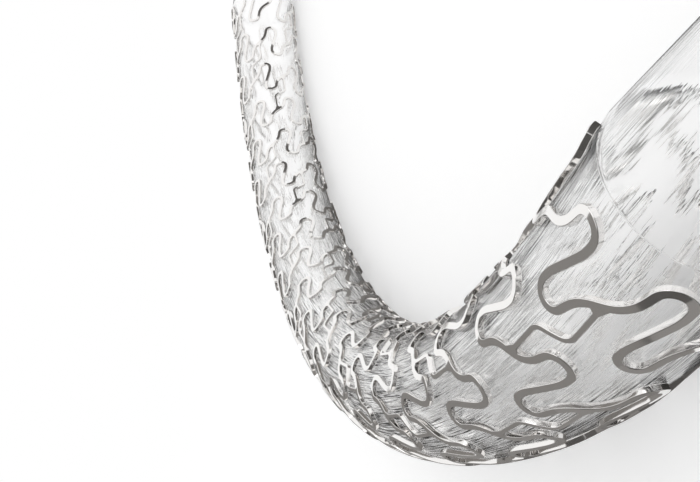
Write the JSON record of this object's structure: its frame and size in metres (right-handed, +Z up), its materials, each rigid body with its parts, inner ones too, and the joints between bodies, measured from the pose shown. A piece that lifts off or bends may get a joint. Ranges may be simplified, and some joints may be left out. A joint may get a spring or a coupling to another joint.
{
  "type": "vascular stent",
  "caption": "Balloon-expandable coronary stent, opened on its inflated balloon and bent in an arc.",
  "frame": {"origin": "centre of the footprint, on the surface the stent lies on", "axes": "+Z up, across the level plane of the bend; +X along the chord of the bend, from the near end to the far end; +Y away from the bend's centre"},
  "size_m": [0.0474, 0.0156, 0.003],
  "materials": {
    "strut_metal": "electropolished cobalt-chromium",
    "balloon_film": "glossy, with fine lengthwise drawing marks"
  },
  "bodies": {
    "root": {"stent": "strut_metal", "balloon": "balloon_film"}
  },
  "joints": []
}
